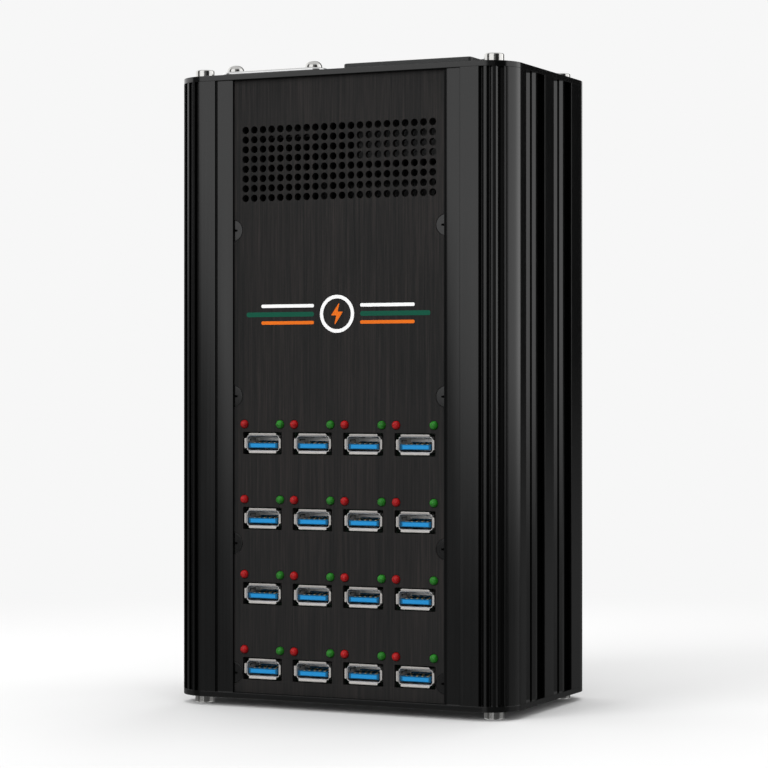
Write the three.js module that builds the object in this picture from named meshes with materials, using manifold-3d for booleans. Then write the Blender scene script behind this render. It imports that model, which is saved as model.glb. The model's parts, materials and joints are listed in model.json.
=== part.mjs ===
// Phone charging kiosk: a black extruded-aluminium cabinet with sixteen
// charging ports, a vented front panel, a cooling fan and a mains inlet module.
// Millimetres, +Z up. The front faces -Y, +X is to the right of a person who
// stands in front. The origin is at the centre of the footprint, at the
// underside of the four lower screw heads that the cabinet stands on.

import * as THREE from 'three';
import { mergeVertices } from 'three/addons/utils/BufferGeometryUtils.js';
import Module from 'manifold-3d';

const wasm = await Module();
wasm.setup();

// ---------------------------------------------------------------- dimensions
const CASE_W = 132;            // width over the side profiles
const CASE_D = 82;             // depth over the side profiles
const CORNER_R = 12.5;         // vertical corner rounding
const PROFILE_H = 220;         // length of the extruded side profiles
const PLATE_T = 2;             // end plates
const CAP_HEAD_H = 3.1;        // low cap screw heads, which are also the feet
const CAP_HEAD_R = 3.5;
const CAP_SHANK_R = 2;
const CAP_SHANK_L = 14;
const CAP_X = 57.1;            // end plate screws from the middle
const CAP_DEPTH = 9;           // and from the front or back face

const PANEL_HALF_W = 46.5;     // front and rear panel, sliding in the profiles
const PANEL_T = 2;
const PANEL_RECESS = 2.35;     // panel face behind the case's front face
const PANEL_SCREW_X = 41.8;
const PANEL_SCREW_Z = [8.9, 55.5, 108.4, 168];
const PANEL_SCREW_HEAD_R = 3.75;

const VENT_COLS = 22;
const VENT_ROWS = 8;
const VENT_PITCH = 3.5;
const VENT_R = 1.3;
const VENT_TOP = 203.9;

const PORT_X = [-30, -10, 10, 30];
const PORT_Z = [91.6, 64.65, 37.7, 10.7];
const PORT_CUT_W = 15.6;
const PORT_CUT_H = 8;
const PORT_FLANGE_W = 14.9;
const PORT_FLANGE_H = 7.4;
const PORT_IN_W = 12.5;
const PORT_IN_H = 5.1;
const PORT_WALL = 0.3;
const TONGUE_W = 11.2;
const TONGUE_LOW = -1.8;       // tongue, from the port's centre line
const TONGUE_HIGH = 0.1;
const PORT_FRONT = 2.45;       // flange face behind the case's front face
const TONGUE_FRONT = 3.5;
const BOARD_FRONT = 16.3;
const BOARD_T = 1.6;

const LED_RISE = 6.8;          // LED row above the port row
const LED_OFFSET = 7.2;        // LED beside the port's centre line
const LED_R = 1.5;

const FAN_X = -34.3;
const FAN_DEPTH = 36;          // fan axis behind the case's front face
const FAN_SIZE = 40;
const FAN_T = 20;
const FAN_HOLE = 16;           // half of the 32 mm hole spacing
const WIRE_R = 0.8;

const INLET_X = 20.85;
const INLET_DEPTH = 39;
const INLET_W = 49.9;
const INLET_D = 48;
const INLET_FLANGE_T = 3.6;
const INLET_BODY_W = 44;
const INLET_BODY_D = 42;
const INLET_BODY_H = 31;

const ROCKER_TILT = 8;         // degrees each way
const SUPPLY_W = 60;
const SUPPLY_D = 30;
const SUPPLY_H = 180;

const TOP_Z = PROFILE_H + 2 * PLATE_T;    // top face of the top plate, from the bottom plate's underside
const UNDER_TOP = PROFILE_H + PLATE_T;    // underside of the top plate
const yOf = (depth) => depth - CASE_D / 2; // depth behind the front face to Y

// ---------------------------------------------------------------- materials
const finish = (color, roughness, metalness) => new THREE.MeshStandardMaterial({ color, roughness, metalness });
const ANODISED = finish(0x1c1d1d, 0.32, 0.6);
const BRUSHED = finish(0x2a2a2a, 0.42, 0.6);
const BLACK_PLATE = finish(0x222222, 0.4, 0.5);
const STAINLESS = finish(0xc9c9c9, 0.25, 1);
const BLACK_SCREW = finish(0x2a2b2b, 0.4, 0.7);
const PORT_STEEL = finish(0xb0aca8, 0.35, 0.9);
const LED_CARRIER = finish(0x8b1c16, 0.3, 0);
const BOARD_GREEN = finish(0x1d4a2c, 0.5, 0);
const RAIL = finish(0x8c8f91, 0.4, 0.8);
const SUPPLY = finish(0x9a9d9f, 0.4, 0.8);
const FAN_PLASTIC = finish(0x161616, 0.5, 0);
const CHROME = finish(0xdedede, 0.12, 1);
const INLET_PLASTIC = finish(0x151616, 0.45, 0);
const SWITCH_PLASTIC = finish(0x101010, 0.25, 0);
const FUSE_GLASS = finish(0xd8dcdc, 0.1, 0.4);
const WIRE_PVC = finish(0x1a1a1a, 0.5, 0);

// ---------------------------------------------------------------- helpers
function toSolid(geometry) {
  const g = geometry.index ? geometry.toNonIndexed() : geometry.clone();
  for (const name of Object.keys(g.attributes)) if (name !== 'position') g.deleteAttribute(name);
  const m = mergeVertices(g, 1e-4);
  const tris = [];
  for (let i = 0; i < m.index.count; i += 3) {
    const [a, b, c] = [m.index.getX(i), m.index.getX(i + 1), m.index.getX(i + 2)];
    if (a !== b && b !== c && c !== a) tris.push(a, b, c);   // a lathe's poles leave empty triangles
  }
  return new wasm.Manifold(new wasm.Mesh({
    numProp: 3,
    vertProperties: new Float32Array(m.attributes.position.array),
    triVerts: new Uint32Array(tris),
  }));
}

function toGeometry(solid) {
  const m = solid.getMesh();
  const g = new THREE.BufferGeometry();
  g.setAttribute('position', new THREE.BufferAttribute(new Float32Array(m.vertProperties), 3));
  g.setIndex(new THREE.BufferAttribute(new Uint32Array(m.triVerts), 1));
  return g;
}

const moved = (g, x, y, z) => g.translate(x, y, z);
const box = (w, d, h, x, y, z) => moved(new THREE.BoxGeometry(w, d, h), x, y, z);
const boxBetween = (x0, x1, y0, y1, z0, z1) =>
  box(x1 - x0, y1 - y0, z1 - z0, (x0 + x1) / 2, (y0 + y1) / 2, (z0 + z1) / 2);

// round bar along Z, X or Y
const barZ = (r, z0, z1, x, y, n = 12) =>
  moved(new THREE.CylinderGeometry(r, r, z1 - z0, n).rotateX(Math.PI / 2), x, y, (z0 + z1) / 2);
const barX = (r, x0, x1, y, z, n = 12) =>
  moved(new THREE.CylinderGeometry(r, r, x1 - x0, n).rotateZ(Math.PI / 2), (x0 + x1) / 2, y, z);

const union = (...gs) => gs.map(toSolid).reduce((a, b) => a.add(b));
const cut = (solid, ...gs) => gs.map(toSolid).reduce((a, b) => a.subtract(b), solid);

function shapeOf(points, holes = []) {
  const s = new THREE.Shape(points.map(([x, y]) => new THREE.Vector2(x, y)));
  for (const h of holes) s.holes.push(new THREE.Path(h.map(([x, y]) => new THREE.Vector2(x, y))));
  return s;
}
const extrudeZ = (shape, z0, z1) =>
  moved(new THREE.ExtrudeGeometry(shape, { depth: z1 - z0, bevelEnabled: false, curveSegments: 1 }), 0, 0, z0);
// a shape drawn in X and Z, from depth y0 to y1
const extrudeY = (shape, y0, y1) =>
  moved(new THREE.ExtrudeGeometry(shape, { depth: y1 - y0, bevelEnabled: false, curveSegments: 1 })
    .rotateX(Math.PI / 2), 0, y1, 0);

const circlePoints = (cx, cy, r, n, turn = 0) => {
  const out = [];
  for (let i = 0; i < n; i += 1) {
    const a = turn + (2 * Math.PI * i) / n;
    out.push([cx + r * Math.cos(a), cy + r * Math.sin(a)]);
  }
  return out;
};
const rectPoints = (cx, cy, w, h) => [
  [cx - w / 2, cy - h / 2], [cx + w / 2, cy - h / 2], [cx + w / 2, cy + h / 2], [cx - w / 2, cy + h / 2],
];
const chamferedRect = (cx, cy, w, h, c) => [
  [cx - w / 2 + c, cy - h / 2], [cx + w / 2 - c, cy - h / 2], [cx + w / 2, cy - h / 2 + c], [cx + w / 2, cy + h / 2 - c],
  [cx + w / 2 - c, cy + h / 2], [cx - w / 2 + c, cy + h / 2], [cx - w / 2, cy + h / 2 - c], [cx - w / 2, cy - h / 2 + c],
];
function roundedRect(cx, cy, w, h, r, n) {
  const out = [];
  for (const [sx, sy, a0] of [[1, 1, 0], [-1, 1, 90], [-1, -1, 180], [1, -1, 270]]) {
    for (let i = 0; i <= n; i += 1) {
      const a = ((a0 + (90 * i) / n) * Math.PI) / 180;
      out.push([cx + sx * (w / 2 - r) + r * Math.cos(a), cy + sy * (h / 2 - r) + r * Math.sin(a)]);
    }
  }
  return out;
}

const kiosk = new THREE.Group();
kiosk.position.z = CAP_HEAD_H;     // everything below is measured from the bottom plate's underside
function piece(name, geometry, material, place) {
  const mesh = new THREE.Mesh(geometry, material);
  mesh.name = name;
  if (place) place(mesh);
  kiosk.add(mesh);
  return mesh;
}

// ---------------------------------------------------------------- side profiles
// Half of the outline is drawn from the front lip to the middle of the depth,
// in X and in depth behind the front face. The corner flutes are cut square to
// the front, the two side grooves and the two T-slots repeat at one pitch.
const GROOVE_PITCH = 26.4;
const arcPoint = (deg) => {
  const a = (deg * Math.PI) / 180;
  return [CASE_W / 2 - CORNER_R + CORNER_R * Math.sin(a), CORNER_R - CORNER_R * Math.cos(a)];
};
const frontLip = [
  [41.4, 2.35], [43.2, 1.05], [47.9, 1.05], [47.9, 0], [53.5, 0],
  [55.0, 0.09], [55.0, 2.6], [56.6, 2.6], [56.6, 0.39],       // flute a
  [57.7, 0.73], [57.7, 2.9], [59.4, 2.9], [59.4, 1.48],       // flute b
  [60.6, 2.21], [59.6, 3.94], [61.8, 5.88], [62.8, 4.15],     // flute c
  [63.1, 4.5], [62.75, 4.78], [63.35, 5.54], [63.7, 5.27],    // flute d
  arcPoint(62), arcPoint(69), arcPoint(76), arcPoint(83), arcPoint(90),
];
const grooveAt = (d) => [
  [66, d], [62, d], [62, d + 6.2], [64.7, d + 6.2], [64.7, d + 8.2], [66, d + 8.2],
  [66, d + 11.2], [64.9, d + 11.2], [64.9, d + 9.8], [61.4, d + 9.8],
  [61.4, d + 18.9], [64.9, d + 18.9], [64.9, d + 17.5], [66, d + 17.5],
];
const frontInner = [
  [59.8, 13.8], [52.5, 13.8], [52.5, 6.4], [45.0, 6.4], [45.0, 4.55], [46.9, 4.55], [46.9, 2.35],
];
const mirroredInDepth = (pts) => pts.map(([x, d]) => [x, CASE_D - d]).reverse();
const outline = [
  ...frontLip, ...grooveAt(16.8), ...grooveAt(16.8 + GROOVE_PITCH),
  ...mirroredInDepth(frontLip), ...mirroredInDepth(frontInner), ...frontInner,
];
function sideProfile(side) {
  const pts = outline.map(([x, d]) => [side * x, yOf(d)]);
  const bores = [CAP_DEPTH, CASE_D - CAP_DEPTH].map((d) => circlePoints(side * CAP_X, yOf(d), 2.35, 12));
  return extrudeZ(shapeOf(pts, bores), PLATE_T, UNDER_TOP);
}
piece('right_side_profile', sideProfile(1), ANODISED);
piece('left_side_profile', sideProfile(-1), ANODISED);

// ---------------------------------------------------------------- end plates
const capScrewSpots = [];
for (const sx of [-1, 1]) for (const d of [CAP_DEPTH, CASE_D - CAP_DEPTH]) capScrewSpots.push([sx * CAP_X, yOf(d)]);
const plateOutline = () => roundedRect(0, 0, CASE_W, CASE_D, CORNER_R, 8);
const capHoles = () => capScrewSpots.map(([x, y]) => circlePoints(x, y, 2.35, 12));
const fanY = yOf(FAN_DEPTH);
const inletY = yOf(INLET_DEPTH);
const fanSpots = [];
for (const sx of [-1, 1]) for (const sy of [-1, 1]) fanSpots.push([FAN_X + sx * FAN_HOLE, fanY + sy * FAN_HOLE]);

piece('bottom_plate', extrudeZ(shapeOf(plateOutline(), capHoles()), 0, PLATE_T), BLACK_PLATE);
piece('top_plate', extrudeZ(shapeOf(plateOutline(), [
  ...capHoles(),
  circlePoints(FAN_X, fanY, 18.5, 24),
  ...fanSpots.map(([x, y]) => circlePoints(x, y, 1.9, 8)),
  rectPoints(INLET_X, inletY, INLET_BODY_W + 0.6, INLET_BODY_D + 0.6),
]), UNDER_TOP, TOP_Z), BLACK_PLATE);

// Low cap screw, head upwards from z = 0, hexagon socket 2 mm deep.
function capScrew() {
  const socket = circlePoints(0, 0, 1.75, 6);
  const rim = extrudeZ(shapeOf(circlePoints(0, 0, CAP_HEAD_R, 12), [socket]), 1, CAP_HEAD_H);
  const head = extrudeZ(shapeOf(circlePoints(0, 0, CAP_HEAD_R, 12)), 0, 1.2);
  const shank = barZ(CAP_SHANK_R, -CAP_SHANK_L, 0.5, 0, 0, 8);
  return toGeometry(union(head, rim, shank));
}
capScrewSpots.forEach(([x, y], i) => {
  piece(`top_plate_screw_${i + 1}`, capScrew(), STAINLESS, (m) => m.position.set(x, y, TOP_Z));
  piece(`bottom_plate_screw_${i + 1}`, capScrew(), STAINLESS, (m) => {
    m.rotation.x = Math.PI;
    m.position.set(x, y, 0);
  });
});

// ---------------------------------------------------------------- front and rear panels
const ledSpots = (zPort) => PORT_X.flatMap((x) => [[x - LED_OFFSET, zPort + LED_RISE], [x + LED_OFFSET, zPort + LED_RISE]]);
const panelScrewSpots = [];
for (const sx of [-1, 1]) for (const z of PANEL_SCREW_Z) panelScrewSpots.push([sx * PANEL_SCREW_X, z]);

const ventHoles = [];
for (let r = 0; r < VENT_ROWS; r += 1) {
  for (let c = 0; c < VENT_COLS; c += 1) {
    ventHoles.push(circlePoints((c - (VENT_COLS - 1) / 2) * VENT_PITCH, VENT_TOP - r * VENT_PITCH, VENT_R, 6));
  }
}
const through = (points) => extrudeY(shapeOf(points), yOf(PANEL_RECESS) - 1, yOf(PANEL_RECESS + PANEL_T) + 1);
const panelCuts = [
  ...ventHoles.map(through),
  ...PORT_Z.flatMap((z) => PORT_X.map((x) => through(rectPoints(x, z, PORT_CUT_W, PORT_CUT_H)))),
  ...PORT_Z.flatMap((z) => ledSpots(z).map(([x, zl]) => through(circlePoints(x, zl, LED_R + 0.3, 6)))),
];
const panelBlank = boxBetween(-PANEL_HALF_W, PANEL_HALF_W, yOf(PANEL_RECESS), yOf(PANEL_RECESS + PANEL_T), PLATE_T, UNDER_TOP);
// countersunk hole: wide at the panel's face, narrow at its back
const countersink = ([x, z]) => {
  const cone = new THREE.CylinderGeometry(2.35, PANEL_SCREW_HEAD_R + 0.3, PANEL_T + 0.02, 12); // wide end at -Y
  return moved(cone, x, yOf(PANEL_RECESS + PANEL_T / 2), z);
};
piece('front_panel', toGeometry(cut(toSolid(panelBlank), ...panelCuts, ...panelScrewSpots.map(countersink))), BRUSHED);
piece('rear_panel', boxBetween(-PANEL_HALF_W, PANEL_HALF_W,
  yOf(CASE_D - PANEL_RECESS - PANEL_T), yOf(CASE_D - PANEL_RECESS), PLATE_T, UNDER_TOP), BLACK_PLATE);

// Countersunk screw along +Y, face at y = 0
function panelScrew() {
  const profile = [[0, 0], [PANEL_SCREW_HEAD_R, 0], [PANEL_SCREW_HEAD_R, 0.2], [2, 1.95], [2, 9.5], [0, 9.5]]
    .map(([r, y]) => new THREE.Vector2(r, y));
  return toGeometry(toSolid(new THREE.LatheGeometry(profile, 10)));
}
panelScrewSpots.forEach(([x, z], i) => {
  piece(`panel_screw_${i + 1}`, panelScrew(), BLACK_SCREW, (m) => m.position.set(x, yOf(PANEL_RECESS), z));
});

// ---------------------------------------------------------------- board rails behind the panel
// Each rail draws the panel against the profile's lip and holds the board's edge in a groove.
function boardRail(side) {
  const pts = [
    [38.9, 4.35], [44.8, 4.35], [44.8, 6.6], [47.2, 6.6], [47.2, 20], [38.9, 20],
    [38.9, 18.1], [41.1, 18.1], [41.1, 16.2], [38.9, 16.2],
  ].map(([x, d]) => [side * x, yOf(d)]);
  const bar = toSolid(extrudeZ(shapeOf(pts), PLATE_T + 1, 178));
  const holes = PANEL_SCREW_Z.map((z) =>
    moved(new THREE.CylinderGeometry(2.25, 2.25, 10, 12), side * PANEL_SCREW_X, yOf(8), z));
  return toGeometry(cut(bar, ...holes));
}
piece('board_rail_right', boardRail(1), RAIL);
piece('board_rail_left', boardRail(-1), RAIL);

// ---------------------------------------------------------------- charging ports
// Steel shell with a flared mouth, closed at the back, with the contact tongue inside.
function chargingPort() {
  const outW = PORT_IN_W + 2 * PORT_WALL;
  const outH = PORT_IN_H + 2 * PORT_WALL;
  const back = BOARD_FRONT;
  const shell = extrudeY(shapeOf(rectPoints(0, 0, outW, outH), [rectPoints(0, 0, PORT_IN_W, PORT_IN_H)]),
    yOf(PORT_FRONT), yOf(back - 2));
  const rim = extrudeY(shapeOf(chamferedRect(0, 0, PORT_FLANGE_W, PORT_FLANGE_H, 1.5),
    [rectPoints(0, 0, PORT_IN_W, PORT_IN_H)]), yOf(PORT_FRONT), yOf(PORT_FRONT + 0.4));
  const base = boxBetween(-outW / 2, outW / 2, yOf(back - 2.5), yOf(back), -outH / 2, outH / 2);
  const tongue = boxBetween(-TONGUE_W / 2, TONGUE_W / 2, yOf(TONGUE_FRONT), yOf(back - 2), TONGUE_LOW, TONGUE_HIGH);
  return toGeometry(union(shell, rim, base, tongue));
}
PORT_Z.forEach((z, r) => PORT_X.forEach((x, c) => {
  piece(`charging_port_r${r + 1}c${c + 1}`, chargingPort(), PORT_STEEL, (m) => m.position.set(x, 0, z));
}));

// ---------------------------------------------------------------- indicator rows
// A spacer bar that stands on the board and carries eight 3 mm LEDs.
function ledRow() {
  const bar = boxBetween(-38.7, 38.7, yOf(6), yOf(BOARD_FRONT), -2, 2);
  const dome = [[0, -1.4], [1.15, -0.85], [LED_R, 0], [LED_R, 4], [0, 4]]
    .map(([r, y]) => new THREE.Vector2(r, y));
  const leds = PORT_X.flatMap((x) => [x - LED_OFFSET, x + LED_OFFSET]).map((x) =>
    moved(new THREE.LatheGeometry(dome, 6), x, yOf(PANEL_RECESS), 0));
  return toGeometry(union(bar, ...leds));
}
PORT_Z.forEach((z, r) => {
  piece(`led_row_${r + 1}`, ledRow(), LED_CARRIER, (m) => m.position.set(0, 0, z + LED_RISE));
});

// ---------------------------------------------------------------- charger board
const boardBack = BOARD_FRONT + BOARD_T;
const parts = [
  boxBetween(-40.8, 40.8, yOf(BOARD_FRONT), yOf(boardBack), 3.2, 118),
  ...PORT_Z.map((z) => boxBetween(-34, 34, yOf(boardBack - 0.5), yOf(boardBack + 2.2), z - 2, z + 4)),
  ...[-28, -12, 12, 28].map((x) => barZ(4, 104, 115, x, yOf(boardBack + 3.5), 10)),
];
piece('charger_board', toGeometry(union(...parts)), BOARD_GREEN);

// ---------------------------------------------------------------- power supply
const supplyBack = CASE_D - PANEL_RECESS - PANEL_T;
const supplyFront = supplyBack - SUPPLY_D;
piece('power_supply', toGeometry(cut(
  toSolid(extrudeZ(shapeOf(chamferedRect(0, yOf(supplyBack - SUPPLY_D / 2), SUPPLY_W, SUPPLY_D, 1.5)), 8, 8 + SUPPLY_H)),
  boxBetween(-26, 26, yOf(supplyFront) - 1, yOf(supplyFront + 14), 170, 190),
)), SUPPLY);

// ---------------------------------------------------------------- cooling fan
const fanTop = UNDER_TOP;
const fanBottom = fanTop - FAN_T;
function fanFrame() {
  const body = extrudeZ(shapeOf(roundedRect(0, 0, FAN_SIZE, FAN_SIZE, 3.2, 3),
    [circlePoints(0, 0, 18.8, 24), ...[[-1, -1], [1, -1], [1, 1], [-1, 1]].map(([a, b]) =>
      circlePoints(a * FAN_HOLE, b * FAN_HOLE, 1.9, 8))]), 0, FAN_T);
  const mount = extrudeZ(shapeOf(circlePoints(0, 0, 11, 16), [circlePoints(0, 0, 1.35, 8)]), 0, 2.4);
  const struts = [[0, 1], [1, 0], [0, -1], [-1, 0]].map(([a, b]) =>
    box(a ? 9 : 2.4, b ? 9 : 2.4, 2.4, a * 14.6, b * 14.6, 1.2));
  return toGeometry(union(body, mount, ...struts));
}
piece('fan_frame', fanFrame(), FAN_PLASTIC, (m) => m.position.set(FAN_X, fanY, fanBottom));

function fanRotor() {
  const hub = [[0, 3], [11, 3], [11, 17.2], [10, 18.4], [0, 18.4]].map(([r, z]) => new THREE.Vector2(r, z));
  let solid = toSolid(new THREE.LatheGeometry(hub, 20).rotateX(Math.PI / 2));
  const blades = [];
  for (let i = 0; i < 7; i += 1) {
    const blade = new THREE.BoxGeometry(10, 15, 1.1);
    blade.rotateX((48 * Math.PI) / 180);
    blade.translate(14.5, 0, 10.6);
    blade.rotateZ((2 * Math.PI * i) / 7);
    blades.push(toSolid(blade));
  }
  const sweep = toSolid(barZ(18.2, 3.4, 17.8, 0, 0, 24));
  for (const b of blades) solid = solid.add(b.intersect(sweep));
  return toGeometry(solid.add(toSolid(barZ(1, 0.3, 4, 0, 0, 8))));
}
piece('fan_rotor', fanRotor(), FAN_PLASTIC, (m) => m.position.set(FAN_X, fanY, fanBottom));

// Wire finger guard: two crossed stays with eyelets, and three rings on top of them.
function fanGuard() {
  const ring = (r, z, n, x = 0, y = 0) => moved(new THREE.TorusGeometry(r, WIRE_R, 5, n), x, y, z);
  const reach = FAN_HOLE * Math.SQRT2 - 2.3;
  const stay = (deg) => moved(new THREE.CylinderGeometry(WIRE_R, WIRE_R, 2 * reach, 6).rotateY(Math.PI / 6)
    .rotateZ(((deg - 90) * Math.PI) / 180), 0, 0, WIRE_R);
  const eyes = [[-1, -1], [1, -1], [1, 1], [-1, 1]].map(([a, b]) =>
    ring(2.5, WIRE_R, 8, a * FAN_HOLE, b * FAN_HOLE));
  return toGeometry(union(stay(45), stay(135), ring(18.5, 2.05, 24), ring(12.3, 2.05, 16), ring(6.1, 2.05, 12), ...eyes));
}
piece('fan_guard', fanGuard(), CHROME, (m) => m.position.set(FAN_X, fanY, TOP_Z));

// Pan head screw with a flat and a spring washer held under its head.
function fanScrew() {
  const profile = [
    [0, -14], [1.5, -14], [1.5, 1.65], [3.2, 1.65], [3.2, 2.25], [2.85, 2.3], [2.85, 4.3], [1.9, 5.5], [0, 5.7],
  ].map(([r, z]) => new THREE.Vector2(r, z));
  return toGeometry(toSolid(new THREE.LatheGeometry(profile, 8).rotateX(Math.PI / 2)));
}
fanSpots.forEach(([x, y], i) => {
  piece(`fan_screw_${i + 1}`, fanScrew(), STAINLESS, (m) => m.position.set(x, y, TOP_Z));
});

// ---------------------------------------------------------------- mains inlet module
// Local frame: centre of the flange, z = 0 at the top plate's face.
const inletTop = INLET_FLANGE_T;
const socketAt = [-8.6, -7.5];
const rockerAt = [13.6, -0.5];
const drawerAt = [-8.6, 9.4];
const PIVOT_Z = inletTop - 2.4;   // rocker pivot below the flange's face
const ROCKER_CREST = 2.7;         // the rocker's middle above its pivot
function inletModule() {
  const flange = extrudeZ(shapeOf(roundedRect(0, 0, INLET_W, INLET_D, 1.6, 2)), 0, inletTop);
  const body = boxBetween(-INLET_BODY_W / 2, INLET_BODY_W / 2, -INLET_BODY_D / 2, INLET_BODY_D / 2, -INLET_BODY_H, 0.5);
  const [sx, sy] = socketAt;
  const socket = extrudeZ(shapeOf([
    [sx - 12.2, sy - 8.4], [sx + 12.2, sy - 8.4], [sx + 12.2, sy + 4.2], [sx + 8, sy + 8.4],
    [sx - 8, sy + 8.4], [sx - 12.2, sy + 4.2],
  ]), inletTop - 15.5, inletTop + 1);
  const [rx, ry] = rockerAt;
  const rockerWell = boxBetween(rx - 7, rx + 7, ry - 12.4, ry + 12.4, inletTop - 12, inletTop + 1);
  const rockerSeats = barX(1.5, rx - 8.2, rx + 8.2, ry, PIVOT_Z, 10);
  const [dx, dy] = drawerAt;
  const drawerWell = boxBetween(dx - 12.2, dx + 12.2, dy - 4.4, dy + 4.4, inletTop - 20, inletTop + 1);
  let solid = cut(union(flange, body), socket, rockerWell, rockerSeats, drawerWell);
  for (const [px, py] of [[-7, -2], [7, -2], [0, 2]]) {
    solid = solid.add(toSolid(boxBetween(sx + px - 1, sx + px + 1, sy + py - 2, sy + py + 2, inletTop - 16, inletTop - 2)));
  }
  return toGeometry(solid);
}
piece('inlet_module', inletModule(), INLET_PLASTIC, (m) => m.position.set(INLET_X, inletY, TOP_Z));

// Rocker: two faces at a shallow angle, on two trunnions. It rests with its front end pressed.
function rocker() {
  const rise = 11.5 * Math.tan((ROCKER_TILT * Math.PI) / 180);
  const side = shapeOf([[-7.6, -5], [7.6, -5], [11.5, 1.2],
    [11.5, ROCKER_CREST + rise], [0, ROCKER_CREST], [-11.5, ROCKER_CREST + rise], [-11.5, 1.2]]);
  const paddle = new THREE.ExtrudeGeometry(side, { depth: 13.2, bevelEnabled: false, curveSegments: 1 });
  // drawn in Y and Z: local x becomes Y, local y becomes Z, depth becomes X
  paddle.applyMatrix4(new THREE.Matrix4().set(0, 0, 1, -6.6, 1, 0, 0, 0, 0, 1, 0, 0, 0, 0, 0, 1));
  return toGeometry(union(paddle, barX(1.2, -7.8, 7.8, 0, 0, 10)));
}
piece('rocker_switch', rocker(), SWITCH_PLASTIC, (m) => {
  m.rotation.x = (ROCKER_TILT * Math.PI) / 180;
  m.position.set(INLET_X + rockerAt[0], inletY + rockerAt[1], TOP_Z + PIVOT_Z);
});

// Fuse drawer: a tray with a pocket open to the back, behind a flush face with a finger lip.
function fuseDrawer() {
  const face = boxBetween(-11.8, 11.8, -4, 4, -2.2, 0);
  const tray = boxBetween(-11.6, 11.6, -3.6, 3.6, -18, -1);
  const lip = boxBetween(-5, 5, -4, -2.6, -0.5, 1.1);
  return toGeometry(cut(union(face, tray, lip), boxBetween(-10.4, 10.4, -2.8, 4.5, -14.5, -8.5)));
}
piece('fuse_drawer', fuseDrawer(), INLET_PLASTIC, (m) => {
  m.position.set(INLET_X + drawerAt[0], inletY + drawerAt[1], TOP_Z + inletTop);
});
piece('fuse_cartridge', new THREE.CylinderGeometry(2.5, 2.5, 20, 12).rotateZ(Math.PI / 2), FUSE_GLASS, (m) => {
  m.position.set(INLET_X + drawerAt[0], inletY + drawerAt[1] + 0.1, TOP_Z + inletTop - 11.4);
});

// ---------------------------------------------------------------- internal leads
function lead(points, r) {
  const curve = new THREE.CatmullRomCurve3(points.map(([x, d, z]) => new THREE.Vector3(x, yOf(d), z)), false, 'catmullrom', 0.5);
  return new THREE.ExtrudeGeometry(shapeOf(circlePoints(0, 0, r, 8)), { steps: 14, extrudePath: curve, bevelEnabled: false });
}
piece('mains_lead', lead([
  [20, 40, 192.6], [20, 40, 180], [20, 40, 160], [20, 41, 151], [20, 44, 146.3], [20, supplyFront - 0.5, 146],
], 2.6), WIRE_PVC);
piece('dc_lead', lead([
  [-16, supplyFront - 0.5, 70], [-16, 44, 70.2], [-16, 36, 73], [-16, 29, 78], [-16, 22, 80], [-16, boardBack + 0.8, 80],
], 2.6), WIRE_PVC);

export default kiosk;
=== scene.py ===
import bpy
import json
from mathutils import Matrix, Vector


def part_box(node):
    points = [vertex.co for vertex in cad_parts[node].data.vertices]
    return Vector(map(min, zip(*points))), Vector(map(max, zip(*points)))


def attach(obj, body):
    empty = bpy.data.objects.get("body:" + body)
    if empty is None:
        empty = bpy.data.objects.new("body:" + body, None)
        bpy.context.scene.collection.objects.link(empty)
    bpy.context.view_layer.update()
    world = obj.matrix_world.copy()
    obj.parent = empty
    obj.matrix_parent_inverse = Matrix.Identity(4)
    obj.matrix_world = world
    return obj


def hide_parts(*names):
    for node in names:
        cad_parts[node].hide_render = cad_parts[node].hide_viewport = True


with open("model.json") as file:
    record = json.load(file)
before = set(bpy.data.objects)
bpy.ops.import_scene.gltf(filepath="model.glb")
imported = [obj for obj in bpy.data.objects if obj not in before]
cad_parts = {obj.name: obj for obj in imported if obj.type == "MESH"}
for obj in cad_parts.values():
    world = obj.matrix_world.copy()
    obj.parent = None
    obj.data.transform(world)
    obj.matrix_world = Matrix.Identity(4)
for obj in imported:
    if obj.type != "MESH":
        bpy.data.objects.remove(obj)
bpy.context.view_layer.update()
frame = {"nodes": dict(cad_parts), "record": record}

import json
import math

import bmesh
import bpy
from mathutils import Matrix, Vector
from mathutils.geometry import tessellate_polygon

scene = bpy.context.scene
nodes = frame["nodes"]
MM = 0.001
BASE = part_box("bottom_plate")[0].z * 1000      # underside of the bottom plate, in mm
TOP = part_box("top_plate")[1].z * 1000          # upper face of the top plate
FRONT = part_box("right_side_profile")[0].y * 1000   # the case's front face
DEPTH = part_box("right_side_profile")[1].y * 1000 - FRONT
CAB = "cabinet"


def yd(depth):
    return FRONT + depth


# ------------------------------------------------------------------ camera
cam_data = bpy.data.cameras.new("view_camera")
cam_data.sensor_width = 36.0
cam_data.lens = 119.58
cam_data.clip_start = 0.01
cam_data.clip_end = 60
cam = bpy.data.objects.new("view_camera", cam_data)
cam.location = (0.39635, -0.8479, 0.1159)
cam.rotation_euler = (math.radians(90), 0, math.radians(25.05))
scene.collection.objects.link(cam)
scene.camera = cam


# ------------------------------------------------------------------ mesh tools
def weigh_normals(me, angle):
    """Area-weighted corner normals, so wide flats stay flat beside their small rounded edges."""
    limit = math.cos(math.radians(angle))
    around = [[] for _ in me.vertices]
    info = []
    for p in me.polygons:
        info.append((p.normal.copy(), p.area))
        for v in p.vertices:
            around[v].append(p.index)
    out = [None] * len(me.loops)
    for p in me.polygons:
        n = info[p.index][0]
        for li in p.loop_indices:
            total = Vector((0, 0, 0))
            for q in around[me.loops[li].vertex_index]:
                nq, aq = info[q]
                if n.dot(nq) > limit:
                    total += nq * aq
            out[li] = total.normalized() if total.length > 0 else n
    me.normals_split_custom_set(out)


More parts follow.
